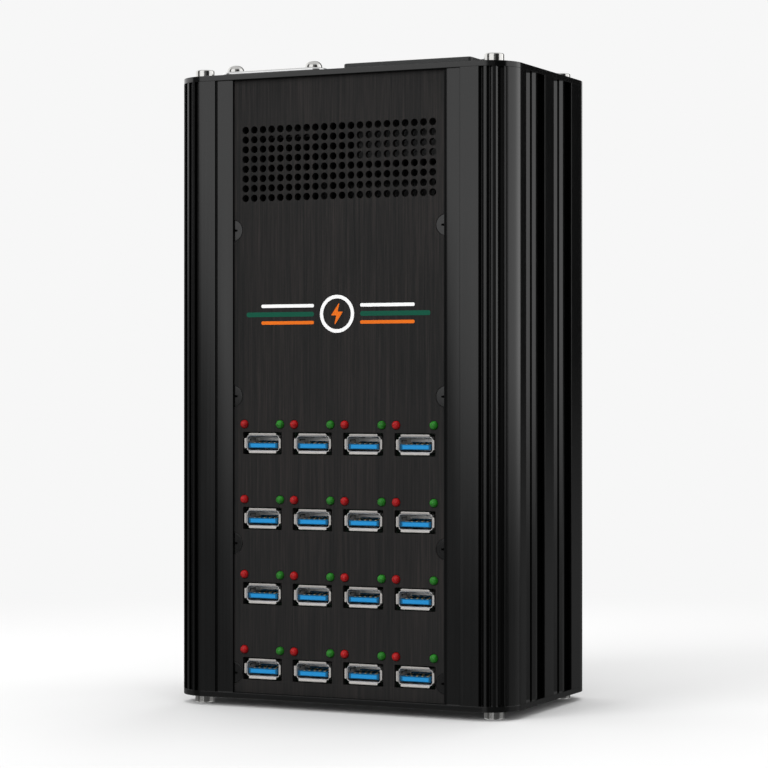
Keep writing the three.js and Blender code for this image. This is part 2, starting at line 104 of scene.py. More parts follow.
def make(name, verts, faces, material, body=CAB, replaces=(), slot=None, angle=35, merge=0.00001):
    """A mesh object from millimetre vertices, riding on a CAD body."""
    me = bpy.data.meshes.new(name)
    me.from_pydata([(x * MM, y * MM, z * MM) for x, y, z in verts], [], faces)
    bm = bmesh.new()
    bm.from_mesh(me)
    bmesh.ops.remove_doubles(bm, verts=bm.verts, dist=merge * MM * 100)
    bmesh.ops.dissolve_degenerate(bm, edges=bm.edges, dist=1e-9)
    bmesh.ops.recalc_face_normals(bm, faces=bm.faces)
    bm.to_mesh(me)
    bm.free()
    me.shade_smooth()
    me.set_sharp_from_angle(angle=math.radians(angle))
    weigh_normals(me, angle)
    ob = bpy.data.objects.new(name, me)
    scene.collection.objects.link(ob)
    for m in material if isinstance(material, (list, tuple)) else [material]:
        me.materials.append(m)
    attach(ob, body)
    if replaces:
        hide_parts(*replaces)
    return ob


class Build:
    """Collects closed shells of millimetre vertices into one mesh."""

    def __init__(self):
        self.v, self.f = [], []

    def add(self, verts, faces, m=None):
        k = len(self.v)
        for p in verts:
            p = Vector(p)
            if m is not None:
                p = m @ p
            self.v.append((p.x, p.y, p.z))
        self.f += [tuple(i + k for i in f) for f in faces]
        return self

    def make(self, name, material, **kw):
        return make(name, self.v, self.f, material, **kw)


def area2(pts):
    return sum(pts[i - 1][0] * p[1] - p[0] * pts[i - 1][1] for i, p in enumerate(pts)) / 2


def ccw(pts):
    return list(pts) if area2(pts) > 0 else list(pts)[::-1]


def fillet(pts, r, n=3):
    out, N = [], len(pts)
    for i in range(N):
        p0, p, p1 = (Vector(pts[j % N]) for j in (i - 1, i, i + 1))
        a, b = p0 - p, p1 - p
        la, lb = a.length, b.length
        if la < 1e-9 or lb < 1e-9:
            continue
        a /= la
        b /= lb
        ang = math.acos(max(-1, min(1, a.dot(b))))
        if ang > math.pi - 0.3 or r <= 0:
            out.append((p.x, p.y))
            continue
        t = min(r / math.tan(ang / 2), 0.42 * la, 0.42 * lb)
        rr = t * math.tan(ang / 2)
        c = p + (a + b).normalized() * (rr / math.sin(ang / 2))
        v0, v1 = p + a * t - c, p + b * t - c
        sgn = 1 if v0.x * v1.y - v0.y * v1.x > 0 else -1
        for k in range(n + 1):
            w = sgn * (math.pi - ang) * k / n
            out.append((c.x + v0.x * math.cos(w) - v0.y * math.sin(w), c.y + v0.x * math.sin(w) + v0.y * math.cos(w)))
    return out


def offset(pts, d):
    """Moves a counter-clockwise outline inwards by d."""
    out, N = [], len(pts)
    for i in range(N):
        p0, p, p1 = (Vector(pts[j % N]) for j in (i - 1, i, i + 1))
        e0, e1 = (p - p0).normalized(), (p1 - p).normalized()
        n0, n1 = Vector((-e0.y, e0.x)), Vector((-e1.y, e1.x))
        k = max(0.35, 1 + n0.dot(n1))
        q = p + (n0 + n1) * (d / k)
        out.append((q.x, q.y))
    return out


def circle(cx, cy, r, n=32, turn=0.0):
    return [(cx + r * math.cos(turn + 2 * math.pi * i / n), cy + r * math.sin(turn + 2 * math.pi * i / n)) for i in range(n)]


def rect(cx, cy, w, h, r=0.0, n=4):
    if r <= 0:
        return [(cx - w / 2, cy - h / 2), (cx + w / 2, cy - h / 2), (cx + w / 2, cy + h / 2), (cx - w / 2, cy + h / 2)]
    out = []
    for sx, sy, a0 in ((1, 1, 0), (-1, 1, 90), (-1, -1, 180), (1, -1, 270)):
        for i in range(n + 1):
            a = math.radians(a0 + 90 * i / n)
            out.append((cx + sx * (w / 2 - r) + r * math.cos(a), cy + sy * (h / 2 - r) + r * math.sin(a)))
    return out


def plate(outer, holes, c0, c1, bevel, mapping, hole_bevel=None):
    """A slab between c0 and c1 with rounded edges round its outline and its holes.
    mapping turns (a, b, c) into a point."""
    hb = bevel if hole_bevel is None else hole_bevel
    loops = [(ccw(outer), bevel, 1)] + [(ccw(h), hb, -1) for h in holes]
    verts, faces, caps0, caps1 = [], [], [], []
    for pts, b, sgn in loops:
        rings = [(0, c0), (0, c1)] if b <= 0 else [
            (b, c0), (0.293 * b, c0 + 0.293 * b), (0, c0 + b), (0, c1 - b), (0.293 * b, c1 - 0.293 * b), (b, c1)]
        n, start = len(pts), len(verts)
        for d, c in rings:
            ring = offset(pts, sgn * d) if d else pts
            verts += [(x, y, c) for x, y in ring]
        for k in range(len(rings) - 1):
            for i in range(n):
                j = (i + 1) % n
                a = start + k * n
                faces.append((a + i, a + j, a + n + j, a + n + i))
        caps0.append(list(range(start, start + n)))
        caps1.append(list(range(start + (len(rings) - 1) * n, start + len(rings) * n)))
    for caps in (caps0, caps1):
        flat = [i for c in caps for i in c]
        tris = tessellate_polygon([[Vector((verts[i][0], verts[i][1], 0)) for i in c] for c in caps])
        faces += [tuple(flat[i] for i in t) for t in tris]
    return [mapping(*v) for v in verts], faces


def up(a, b, c):
    return (a, b, c)


def front(a, b, c):
    """Drawn in X and Z (from the bottom plate), depth c behind the case's front."""
    return (a, yd(c), b + BASE)


def lathe(profile, n=48, m=None):
    """Turns (r, z) points about Z. The profile starts and ends on the axis."""
    verts, faces, rings = [], [], []
    for r, z in profile:
        if r < 1e-6:
            rings.append([len(verts)])
            verts.append((0, 0, z))
        else:
            rings.append(list(range(len(verts), len(verts) + n)))
            verts += [(r * math.cos(2 * math.pi * i / n), r * math.sin(2 * math.pi * i / n), z) for i in range(n)]
    for a, b in zip(rings, rings[1:]):
        for i in range(n):
            j = (i + 1) % n
            if len(a) == 1 and len(b) == 1:
                continue
            if len(a) == 1:
                faces.append((a[0], b[i], b[j]))
            elif len(b) == 1:
                faces.append((a[i], a[j], b[0]))
            else:
                faces.append((a[i], a[j], b[j], b[i]))
    if m is not None:
        verts = [tuple(m @ Vector(v)) for v in verts]
    return verts, faces


def ray_radius(poly, ang):
    """Distance from the centre to a star-shaped outline at an angle."""
    dx, dy = math.cos(ang), math.sin(ang)
    best = None
    for i in range(len(poly)):
        (x0, y0), (x1, y1) = poly[i - 1], poly[i]
        ex, ey = x1 - x0, y1 - y0
        det = dx * -ey + dy * ex
        if abs(det) < 1e-12:
            continue
        t = (x0 * -ey + y0 * ex) / det
        u = (dx * y0 - dy * x0) / det
        if t > 0 and -1e-9 <= u <= 1 + 1e-9:
            best = t if best is None else min(best, t)
    return best


def recessed(profile, recess, depth, taper=0.8, edge=0.12, n=48):
    """A turned head whose last profile point is the rim of a flat top with a recess cut into it.
    profile starts on the axis and ends at (r_rim, z_top)."""
    angles = sorted(set([round(2 * math.pi * i / n, 6) for i in range(n)]
                        + [round(math.atan2(y, x) % (2 * math.pi), 6) for x, y in recess]))
    N = len(angles)
    verts, faces, rings = [], [], []
    for r, z in profile:
        if r < 1e-6:
            rings.append([len(verts)])
            verts.append((0, 0, z))
        else:
            rings.append(list(range(len(verts), len(verts) + N)))
            verts += [(r * math.cos(a), r * math.sin(a), z) for a in angles]
    z_top = profile[-1][1]
    radii = [ray_radius(recess, a) for a in angles]
    for grow, z in ((edge, z_top), (0, z_top - edge), (None, z_top - depth)):
        rings.append(list(range(len(verts), len(verts) + N)))
        for a, r in zip(angles, radii):
            rr = r * taper if grow is None else r + grow
            verts.append((rr * math.cos(a), rr * math.sin(a), z))
    rings.append([len(verts)])
    verts.append((0, 0, z_top - depth * 1.12))
    for a, b in zip(rings, rings[1:]):
        for i in range(N):
            j = (i + 1) % N
            if len(a) == 1:
                faces.append((a[0], b[i], b[j]))
            elif len(b) == 1:
                faces.append((a[i], a[j], b[0]))
            else:
                faces.append((a[i], a[j], b[j], b[i]))
    return verts, faces


def cross(r, w):
    """A cross recess outline: arms of length r and width w."""
    h, k = w / 2, w * 0.62
    return [(r, -h * 0.7), (r, h * 0.7), (k, k), (h * 0.7, r), (-h * 0.7, r), (-k, k),
            (-r, h * 0.7), (-r, -h * 0.7), (-k, -k), (-h * 0.7, -r), (h * 0.7, -r), (k, -k)]


def hexagon(flats):
    return circle(0, 0, flats / math.sqrt(3), 6)


def block(x0, x1, y0, y1, z0, z1, bevel=0.2, r=None, n=2):
    """A box with rounded edges all round."""
    r = bevel if r is None else r
    return plate(rect((x0 + x1) / 2, (y0 + y1) / 2, x1 - x0, y1 - y0, max(r, 0.01), n), [], z0, z1, bevel, up)


def loft(rings, cap0=True, cap1=True, closed=False):
    """Joins rings of equal count. Ends are capped."""
    verts = [p for r in rings for p in r]
    n, faces = len(rings[0]), []
    span = len(rings) if closed else len(rings) - 1
    for k in range(span):
        a, b = k * n, ((k + 1) % len(rings)) * n
        for i in range(n):
            j = (i + 1) % n
            faces.append((a + i, a + j, b + j, b + i))
    if not closed and cap0:
        faces.append(tuple(range(n))[::-1])
    if not closed and cap1:
        faces.append(tuple(range((len(rings) - 1) * n, len(rings) * n)))
    return verts, faces


def tube(path, r, n=12, closed=False):
    """A round wire along points."""
    pts = [Vector(p) for p in path]
    N = len(pts)
    rings, up_v = [], None
    for i, p in enumerate(pts):
        if closed:
            t = (pts[(i + 1) % N] - pts[i - 1]).normalized()
        else:
            t = (pts[min(i + 1, N - 1)] - pts[max(i - 1, 0)]).normalized()
        if up_v is None:
            up_v = Vector((0, 0, 1)) if abs(t.z) < 0.9 else Vector((1, 0, 0))
        side = t.cross(up_v).normalized()
        up_v = side.cross(t).normalized()
        rings.append([tuple(p + side * (r * math.cos(2 * math.pi * k / n)) + up_v * (r * math.sin(2 * math.pi * k / n))) for k in range(n)])
    return loft(rings, closed=closed)


# ------------------------------------------------------------------ materials
def new_mat(name, color, rough, metal=0.0, **sockets):
    m = bpy.data.materials.new(name)
    m.use_nodes = True
    nt = m.node_tree
    b = nt.nodes["Principled BSDF"]
    b.inputs["Base Color"].default_value = (*color, 1)
    b.inputs["Roughness"].default_value = rough
    b.inputs["Metallic"].default_value = metal
    for k, v in sockets.items():
        b.inputs[k].default_value = v
    m.diffuse_color = (*color, 1)
    return m, nt, b


def coords(nt, scale, rot=(0, 0, 0), loc=(0, 0, 0)):
    tc = nt.nodes.new("ShaderNodeTexCoord")
    mp = nt.nodes.new("ShaderNodeMapping")
    mp.inputs["Scale"].default_value = scale
    mp.inputs["Rotation"].default_value = rot
    mp.inputs["Location"].default_value = loc
    nt.links.new(tc.outputs["Object"], mp.inputs["Vector"])
    return mp.outputs["Vector"]


def noise(nt, vec, scale=1.0, detail=2.0, rough=0.5, distortion=0.0):
    n = nt.nodes.new("ShaderNodeTexNoise")
    n.inputs["Scale"].default_value = scale
    n.inputs["Detail"].default_value = detail
    n.inputs["Roughness"].default_value = rough
    n.inputs["Distortion"].default_value = distortion
    nt.links.new(vec, n.inputs["Vector"])
    return n.outputs["Fac"]


def remap(nt, fac, a0, a1, b0, b1):
    r = nt.nodes.new("ShaderNodeMapRange")
    for k, v in zip(("From Min", "From Max", "To Min", "To Max"), (a0, a1, b0, b1)):
        r.inputs[k].default_value = v
    nt.links.new(fac, r.inputs["Value"])
    return r.outputs["Result"]


def math_node(nt, op, a, b):
    m = nt.nodes.new("ShaderNodeMath")
    m.operation = op
    for s, v in zip(m.inputs, (a, b)):
        if isinstance(v, (int, float)):
            s.default_value = v
        else:
            nt.links.new(v, s)
    return m.outputs[0]


def ramp(nt, fac, stops):
    r = nt.nodes.new("ShaderNodeValToRGB")
    el = r.color_ramp.elements
    while len(el) < len(stops):
        el.new(0.5)
    for e, (pos, col) in zip(el, stops):
        e.position = pos
        e.color = (*col, 1)
    nt.links.new(fac, r.inputs["Fac"])
    return r.outputs["Color"]


def bump(nt, b, height, strength, distance):
    n = nt.nodes.new("ShaderNodeBump")
    n.inputs["Strength"].default_value = strength
    n.inputs["Distance"].default_value = distance
    nt.links.new(height, n.inputs["Height"])
    nt.links.new(n.outputs["Normal"], b.inputs["Normal"])


def scaled(c, k):
    return tuple(min(1, x * k) for x in c)


def anodised(name, color, rough, line_axis="z", spec=0.5):
    """Satin black anodising over an extruded surface: faint drawing lines along one axis, slow cloudiness."""
    m, nt, b = new_mat(name, color, rough)
    b.inputs["Specular IOR Level"].default_value = spec
    sc = {"z": (1400, 1400, 9), "x": (9, 1400, 1400), "y": (1400, 9, 1400)}[line_axis]
    lines = noise(nt, coords(nt, sc), 1, 3, 0.6)
    cloud = noise(nt, coords(nt, (38, 38, 22)), 1, 3, 0.55)
    mix = math_node(nt, "ADD", math_node(nt, "MULTIPLY", lines, 0.6), math_node(nt, "MULTIPLY", cloud, 0.4))
    nt.links.new(ramp(nt, mix, [(0.3, scaled(color, 0.72)), (0.7, scaled(color, 1.32))]), b.inputs["Base Color"])
    nt.links.new(remap(nt, mix, 0.3, 0.7, rough - 0.05, rough + 0.06), b.inputs["Roughness"])
    grain = noise(nt, coords(nt, (5200, 5200, 5200)), 1, 2, 0.5)
    h = math_node(nt, "ADD", math_node(nt, "MULTIPLY", lines, 0.7), math_node(nt, "MULTIPLY", grain, 0.3))
    bump(nt, b, h, 0.25, 0.00003)
    return m


def brushed(name, color, rough):
    """Black brushed sheet: fine vertical strokes of different lengths."""
    m, nt, b = new_mat(name, color, rough)
    b.inputs["Specular IOR Level"].default_value = 0.20
    fine = noise(nt, coords(nt, (4300, 4300, 70)), 1, 2, 0.6)
    long = noise(nt, coords(nt, (1900, 1900, 18), loc=(3.1, 0, 1.7)), 1, 2, 0.55)
    patch = noise(nt, coords(nt, (34, 34, 13), loc=(0.7, 0, 2.3)), 1, 2, 0.5)
    s = math_node(nt, "ADD", math_node(nt, "MULTIPLY", fine, 0.55), math_node(nt, "MULTIPLY", long, 0.45))
    tone = math_node(nt, "ADD", math_node(nt, "MULTIPLY", s, 0.8), math_node(nt, "MULTIPLY", patch, 0.2))
    r0, g0, b0 = color
    nt.links.new(ramp(nt, tone, [(0.36, (r0 * 0.58, g0 * 0.66, b0 * 0.68)), (0.5, color), (0.64, (r0 * 1.95, g0 * 1.72, b0 * 1.66))]), b.inputs["Base Color"])
    nt.links.new(remap(nt, tone, 0.35, 0.65, rough + 0.07, rough - 0.07), b.inputs["Roughness"])
    bump(nt, b, s, 0.5, 0.00004)
    return m


def moulded(name, color, rough, grain=2600, depth=0.00003, spec=0.5, var=0.18):
    """Moulded plastic: fine spark texture, slight mottling."""
    m, nt, b = new_mat(name, color, rough)
    b.inputs["Specular IOR Level"].default_value = spec
    g = noise(nt, coords(nt, (grain,) * 3), 1, 3, 0.6)
    c = noise(nt, coords(nt, (60, 60, 60)), 1, 2, 0.5)
    mix = math_node(nt, "ADD", math_node(nt, "MULTIPLY", g, 0.4), math_node(nt, "MULTIPLY", c, 0.6))
    nt.links.new(ramp(nt, mix, [(0.3, scaled(color, 1 - var)), (0.7, scaled(color, 1 + var))]), b.inputs["Base Color"])
    nt.links.new(remap(nt, mix, 0.3, 0.7, rough - 0.04, rough + 0.05), b.inputs["Roughness"])
    bump(nt, b, g, 0.35, depth)
    return m


def metal(name, color, rough, metalness=1.0, grain=(2400, 2400, 2400), depth=0.00002, var=0.1):
    """Bare or plated metal with fine working marks."""
    m, nt, b = new_mat(name, color, rough, metalness)
    g = noise(nt, coords(nt, grain), 1, 3, 0.6)
    c = noise(nt, coords(nt, (180, 180, 180)), 1, 2, 0.5)
    mix = math_node(nt, "ADD", math_node(nt, "MULTIPLY", g, 0.5), math_node(nt, "MULTIPLY", c, 0.5))
    nt.links.new(ramp(nt, mix, [(0.3, scaled(color, 1 - var)), (0.7, scaled(color, 1 + var))]), b.inputs["Base Color"])
    nt.links.new(remap(nt, mix, 0.3, 0.7, max(0.02, rough - 0.06), rough + 0.08), b.inputs["Roughness"])
    bump(nt, b, g, 0.25, depth)
    return m


MAT = {
    "black_anodised": anodised("black_anodised", (0.0017, 0.0018, 0.0018), 0.12),
    "brushed_black": brushed("brushed_black", (0.0098, 0.0093, 0.0091), 0.48),
    "black_plate": anodised("black_plate", (0.0020, 0.0021, 0.0021), 0.13, "x"),
    "stainless": metal("stainless", (0.60, 0.595, 0.58), 0.13),
    "black_screw": metal("black_screw", (0.0036, 0.0036, 0.0036), 0.11, 0.0, depth=0.00001, var=0.25),
    "port_shell": metal("port_shell", (0.37, 0.355, 0.34), 0.40, 0.2),
    "tongue_blue": moulded("tongue_blue", (0.011, 0.215, 0.500), 0.45, 3800, 0.00002, spec=0.25, var=0.06),
    # the port's tube and back wall are far paler than the tabs of the same steel: painted light inside the port
    "port_tube": metal("port_tube", (0.88, 0.87, 0.85), 0.40, 0.85, var=0.10),
    "port_back": metal("port_back", (0.86, 0.86, 0.85), 0.45, 0.8, var=0.14),
    # a darker copy of the tongue's blue: painted shade on its body, rounded edges and root block
    "tongue_painted_shade": moulded("tongue_painted_shade", (0.004, 0.075, 0.165), 0.5, 3800, 0.00002, spec=0.2, var=0.08),
    # dark grey for the slots round the spring fingers: painted shade standing in for the openings
    "port_slot": moulded("port_slot", (0.035, 0.035, 0.035), 0.5, 2600),
    "contact_metal": metal("contact_metal", (0.70, 0.55, 0.30), 0.28, 1.0),
    "led_carrier": moulded("led_carrier", (0.010, 0.010, 0.010), 0.5),
    "circuit_board": moulded("circuit_board", (0.010, 0.060, 0.026), 0.35, 900, 0.00005),
    "bare_aluminium": metal("bare_aluminium", (0.52, 0.53, 0.54), 0.34, 1.0, (1500, 1500, 14)),
    "supply_case": metal("supply_case", (0.006, 0.006, 0.006), 0.5, 0.0, (1500, 1500, 60), var=0.3),
    "fan_plastic": moulded("fan_plastic", (0.010, 0.010, 0.010), 0.46),
    "chrome_wire": metal("chrome_wire", (0.74, 0.74, 0.74), 0.12, 1.0, (900, 900, 900), var=0.05),
    "inlet_plastic": moulded("inlet_plastic", (0.0115, 0.0122, 0.0122), 0.40, 2200, 0.00005),
    "switch_plastic": moulded("switch_plastic", (0.008, 0.008, 0.008), 0.22, 1600, 0.00001),
    "lead_jacket": moulded("lead_jacket", (0.012, 0.012, 0.012), 0.48, 1800),
    "print_white": moulded("print_white", (0.80, 0.80, 0.80), 0.5, 2600, 0.00001, var=0.04),
    "print_orange": moulded("print_orange", (0.66, 0.130, 0.004), 0.5, 2600, 0.00001, spec=0.25, var=0.06),
    "print_green": moulded("print_green", (0.001, 0.064, 0.036), 0.5, 2600, 0.00001, spec=0.2, var=0.08),
}


def clear_glass(name, color):
    """Drawn glass tube: faint tint changes and draw lines."""
    m, nt, b = new_mat(name, color, 0.05, 0.0, **{"Transmission Weight": 0.85})
    n = noise(nt, coords(nt, (900, 900, 900)), 1, 2, 0.5)
    nt.links.new(ramp(nt, n, [(0.3, scaled(color, 0.93)), (0.7, color)]), b.inputs["Base Color"])
    nt.links.new(remap(nt, n, 0.3, 0.7, 0.03, 0.09), b.inputs["Roughness"])
    return m


MAT["fuse_glass"] = clear_glass("fuse_glass", (0.85, 0.88, 0.88))


def led_mat(name, color):
    """Tinted epoxy lens: deep colour, clear gloss, a little light through it."""
    m, nt, b = new_mat(name, color, 0.34, 0.0, **{
        "Specular IOR Level": 0.3, "Subsurface Weight": 0.2, "Subsurface Scale": 0.0005})
    b.inputs["Subsurface Radius"].default_value = (1.0, 0.5, 0.4)
    c = noise(nt, coords(nt, (700, 700, 700)), 1, 2, 0.5)
    nt.links.new(ramp(nt, c, [(0.3, scaled(color, 0.72)), (0.7, scaled(color, 1.25))]), b.inputs["Base Color"])
    return m


MAT["light_red"] = led_mat("light_red", (0.27, 0.005, 0.006))
MAT["light_green"] = led_mat("light_green", (0.014, 0.135, 0.012))

# every CAD node that stays gets its slot's material
for entry in frame["record"]["subparts"]:
    ob = nodes[entry["node"]]
    ob.data.materials.clear()
    ob.data.materials.append(MAT[entry["material_slot"]])

nodes["power_supply"].data.materials.clear()
nodes["power_supply"].data.materials.append(MAT["supply_case"])

# ------------------------------------------------------------------ side profiles
HALF_W, CORNER = 66.0, 12.5


def arc_pt(deg):
    a = math.radians(deg)
    return (HALF_W - CORNER + CORNER * math.sin(a), CORNER - CORNER * math.cos(a))


def profile_outline():
    lip = [(41.4, 2.35), (41.4, 1.48), (43.1, 1.05), (47.9, 1.05), (47.9, 0), (53.5, 0)]
    flutes = [(55.0, 0.09), (55.0, 2.6), (56.6, 2.6), (56.6, 0.39),
              (57.7, 0.73), (57.7, 2.9), (59.4, 2.9), (59.4, 1.48),
              (60.6, 2.21), (61.0, 3.4), (60.2, 4.45), (61.8, 5.88), (62.8, 4.15),
              (63.1, 4.5), (62.75, 4.78), (63.35, 5.54), (63.7, 5.27)]
    arc = [arc_pt(a) for a in [57 + 1.65 * k for k in range(21)]]

    def groove(d):
        return [(66, d), (62, d), (62, d + 4.6), (63.2, d + 4.8), (64.3, d + 7.5), (64.3, d + 7.8), (64.9, d + 7.8), (65.6, d + 9.6),
                (65.6, d + 11.2), (64.9, d + 11.2), (64.9, d + 10.6), (61.4, d + 10.6),
                (61.4, d + 18.9), (64.9, d + 18.9), (64.9, d + 17.5), (66, d + 17.5)]

    inner = [(59.8, 13.8), (52.5, 13.8), (52.5, 6.4), (45.0, 6.4), (45.0, 4.55), (46.9, 4.55), (46.9, 2.35)]
    head = lip + flutes + arc
    back = [(x, DEPTH - d) for x, d in head][::-1]
    back_inner = [(x, DEPTH - d) for x, d in inner][::-1]
    return head + groove(16.8) + groove(16.8 + 26.4) + back + back_inner + inner


for side, node in ((1, "right_side_profile"), (-1, "left_side_profile")):
    pts = [(side * x, yd(d)) for x, d in profile_outline()]
    pts = fillet(ccw(pts), 0.22, 3)
    bores = [circle(side * 57.1, yd(d), 2.3, 28) for d in (9, DEPTH - 9)]
    v, f = plate(pts, bores, BASE + 2, TOP - 2, 0.0, up)
    make(node + "_extrusion", v, f, MAT["black_anodised"], replaces=(node,), slot="black_anodised", angle=24)

# ------------------------------------------------------------------ end plates
CAPS = [(sx * 57.1, yd(d)) for sx in (-1, 1) for d in (9, DEPTH - 9)]
FAN = ((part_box("fan_frame")[0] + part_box("fan_frame")[1]) * 500).xy
INLET = ((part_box("inlet_module")[0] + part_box("inlet_module")[1]) * 500).xy
FAN_SCREWS = [(FAN.x + sx * 16, FAN.y + sy * 16) for sx in (-1, 1) for sy in (-1, 1)]
cap_holes = [circle(x, y, 2.3, 24) for x, y in CAPS]
outline = rect(0, FRONT + DEPTH / 2, 2 * HALF_W, DEPTH, CORNER, 20)
v, f = plate(outline, cap_holes, BASE, BASE + 2, 0.10, up)
make("bottom_end_plate", v, f, MAT["black_plate"], replaces=("bottom_plate",), slot="black_plate")
v, f = plate(outline, cap_holes + [circle(FAN.x, FAN.y, 18.5, 64)] + [circle(x, y, 1.85, 20) for x, y in FAN_SCREWS]
             + [rect(INLET.x, INLET.y, 44.6, 42.6, 1.0, 3)], TOP - 2, TOP, 0.14, up)
make("top_end_plate", v, f, MAT["black_plate"], replaces=("top_plate",), slot="black_plate")

# rear panel
v, f = plate(rect(0, (TOP - BASE) / 2, 93, TOP - BASE - 4.02), [], DEPTH - 4.35, DEPTH - 2.35, 0.12, front)
make("rear_cover_sheet", v, f, MAT["brushed_black"], replaces=("rear_panel",), slot="brushed_black")

# ------------------------------------------------------------------ front panel
PORT_X = [-30, -10, 10, 30]
PORT_Z = [91.6, 64.65, 37.7, 10.7]
PANEL_SCREWS = [(sx * 41.8, z) for sx in (-1, 1) for z in (8.9, 55.5, 108.4, 168)]
H = TOP - BASE
vents = [circle((c - 10.5) * 3.5, 203.9 - r * 3.5, 1.31, 20) for r in range(8) for c in range(22)]
cuts = [rect(x, z, 15.6, 8.0, 0.35, 2) for z in PORT_Z for x in PORT_X]
leds = [(x + s * 7.2, z + 6.8, s) for z in PORT_Z for x in PORT_X for s in (-1, 1)]
led_holes = [circle(x, z, 1.62, 20) for x, z, _ in leds]
sinks = [circle(x, z, 3.85, 40) for x, z in PANEL_SCREWS]
v, f = plate(rect(0, H / 2, 93, H - 4.02), vents + cuts + led_holes + sinks, 2.35, 4.35, 0.10, front)
make("front_panel_sheet", v, f, MAT["brushed_black"], replaces=("front_panel",), slot="brushed_black", angle=30)

# ------------------------------------------------------------------ screws
CAP_HEAD = [(0, -14), (1.7, -14), (2.0, -13.6), (2.0, 0.0), (3.3, 0.0), (3.5, 0.12), (3.5, 2.62), (3.44, 2.86), (3.28, 3.03), (3.06, 3.1)]
for i, (x, y) in enumerate(CAPS):
    for where, z, turn in (("top", TOP, 0), ("bottom", BASE, math.pi)):
        v, f = recessed(CAP_HEAD, hexagon(3.0), 2.0, taper=0.97, edge=0.14, n=64)
        m = Matrix.Translation((x, y, z)) @ Matrix.Rotation(turn, 4, "X") @ Matrix.Rotation(0.4 * i + 0.2, 4, "Z")
        Build().add(v, f, m).make(f"{where}_cap_screw_{i + 1}", MAT["stainless"], replaces=(f"{where}_plate_screw_{i + 1}",), slot="stainless")

FLAT_HEAD = [(0, -9.5), (1.7, -9.5), (2.0, -9.2), (2.0, -1.95), (3.72, -0.22), (3.75, -0.1), (3.68, -0.02), (3.6, 0.0)]
for i, (x, z) in enumerate(PANEL_SCREWS):
    v, f = recessed(FLAT_HEAD, cross(1.75, 0.75), 1.5, taper=0.55, edge=0.05, n=64)
    m = Matrix.Translation((x, yd(2.36), z + BASE)) @ Matrix.Rotation(math.pi / 2, 4, "X")
    Build().add(v, f, m).make(f"countersunk_screw_{i + 1}", MAT["black_screw"], replaces=(f"panel_screw_{i + 1}",), slot="black_screw")

PAN_HEAD = [(0, -14), (1.3, -14), (1.5, -13.7), (1.5, 3.05), (2.85, 3.05), (3.1, 3.2), (3.15, 3.7), (3.04, 4.3), (2.74, 4.85), (2.28, 5.3), (1.74, 5.58), (1.42, 5.66)]
for i, (x, y) in enumerate(FAN_SCREWS):
    v, f = recessed(PAN_HEAD, cross(1.2, 0.62), 1.3, taper=0.55, edge=0.05, n=48)
    b = Build()
    at = Matrix.Translation((x, y, TOP))
    b.add(v, f, at @ Matrix.Rotation(0.5 * i, 4, "Z"))
    washer = [(1.6, 1.66), (3.1, 1.66), (3.2, 1.76), (3.2, 2.18), (3.1, 2.26), (1.6, 2.26)]
    spring = [(1.65, 2.28), (2.5, 2.28), (2.58, 2.36), (2.58, 2.98), (2.5, 3.04), (1.65, 3.04)]
    for ring in (washer, spring):
        n = 40
        rr = [[(r * math.cos(2 * math.pi * k / n), r * math.sin(2 * math.pi * k / n), z) for r, z in ring] for k in range(n)]
        b.add(*loft(rr, closed=True), at)
    b.make(f"fan_mount_screw_{i + 1}", MAT["stainless"], replaces=(f"fan_screw_{i + 1}",), slot="stainless")


# ------------------------------------------------------------------ charging ports
def mouth(w, h, r, depth, n=5):
    """A rounded mouth outline at a depth."""
    return [(x, yd(depth), z) for x, z in rect(0, 0, w, h, r, n)]


def port_tube():
    """The pressed tube that the plug goes into; it takes a paler metal than its own tabs, as painted light inside the
    port.
    """
    b = Build()
    b.add(*loft([
        mouth(12.5, 5.1, 0.75, 13.4), mouth(12.5, 5.1, 0.75, 3.05), mouth(12.56, 5.16, 0.78, 2.93), mouth(12.7, 5.3, 0.85, 2.86),
        mouth(12.9, 5.5, 0.95, 2.86), mouth(13.04, 5.64, 1.02, 2.93), mouth(13.1, 5.7, 1.05, 3.05), mouth(13.1, 5.7, 1.05, 13.4)], closed=True))
    return b


def port_shell():
    """A flared tab along each side of the mouth, with open corners between them, and the grip springs."""
    b = Build()
    # (depth, distance outwards from the middle of the wall)
    inner = [(3.5, -0.10), (3.05, -0.09), (2.80, 0.00), (2.60, 0.16), (2.48, 0.40), (2.45, 0.62), (2.46, 0.84)]
    outer = [(2.52, 0.90), (2.72, 0.90), (2.76, 0.66), (2.80, 0.46), (2.90, 0.30), (3.1, 0.16), (3.5, 0.12)]
    section = inner + outer
    for sgn in (1, -1):
        for half, base, flip in ((5.5, 2.70, False), (1.8, 6.40, True)):
            rings = []
            for u, cut in ((-half, 0.30), (-half + 0.1, 0.12), (-half + 0.3, 0.0), (half - 0.3, 0.0), (half - 0.1, 0.12), (half, 0.30)):
                ring = []
                for d, o in section:
                    q = sgn * (base + min(o, 0.90 - cut))
                    ring.append((q, yd(d), u) if flip else (u, yd(d), q))
                rings.append(ring)
            b.add(*loft(rings))
    # spring fingers that grip the plug: two in the roof, two in the floor, one in each side
    for x in (-3.1, 3.1):
        for s in (1, -1):
            prof = [(4.3, 2.52), (5.6, 2.3), (7.2, 2.1), (8.3, 2.08), (9.2, 2.3), (9.2, 2.44), (8.3, 2.22), (7.2, 2.24), (5.6, 2.44), (4.3, 2.55)]
            r = [[(x + dx, yd(d), s * z) for d, z in prof] for dx in (-0.85, 0.85)]
            b.add(*loft(r))
    for s in (1, -1):
        prof = [(5.4, 6.24), (6.6, 6.05), (7.8, 5.95), (8.8, 6.02), (8.8, 6.14), (7.8, 6.07), (6.6, 6.17), (5.4, 6.26)]
        r = [[(s * x, yd(d), z) for d, x in prof] for z in (-0.1, 1.3)]
        b.add(*loft(r))
    return b


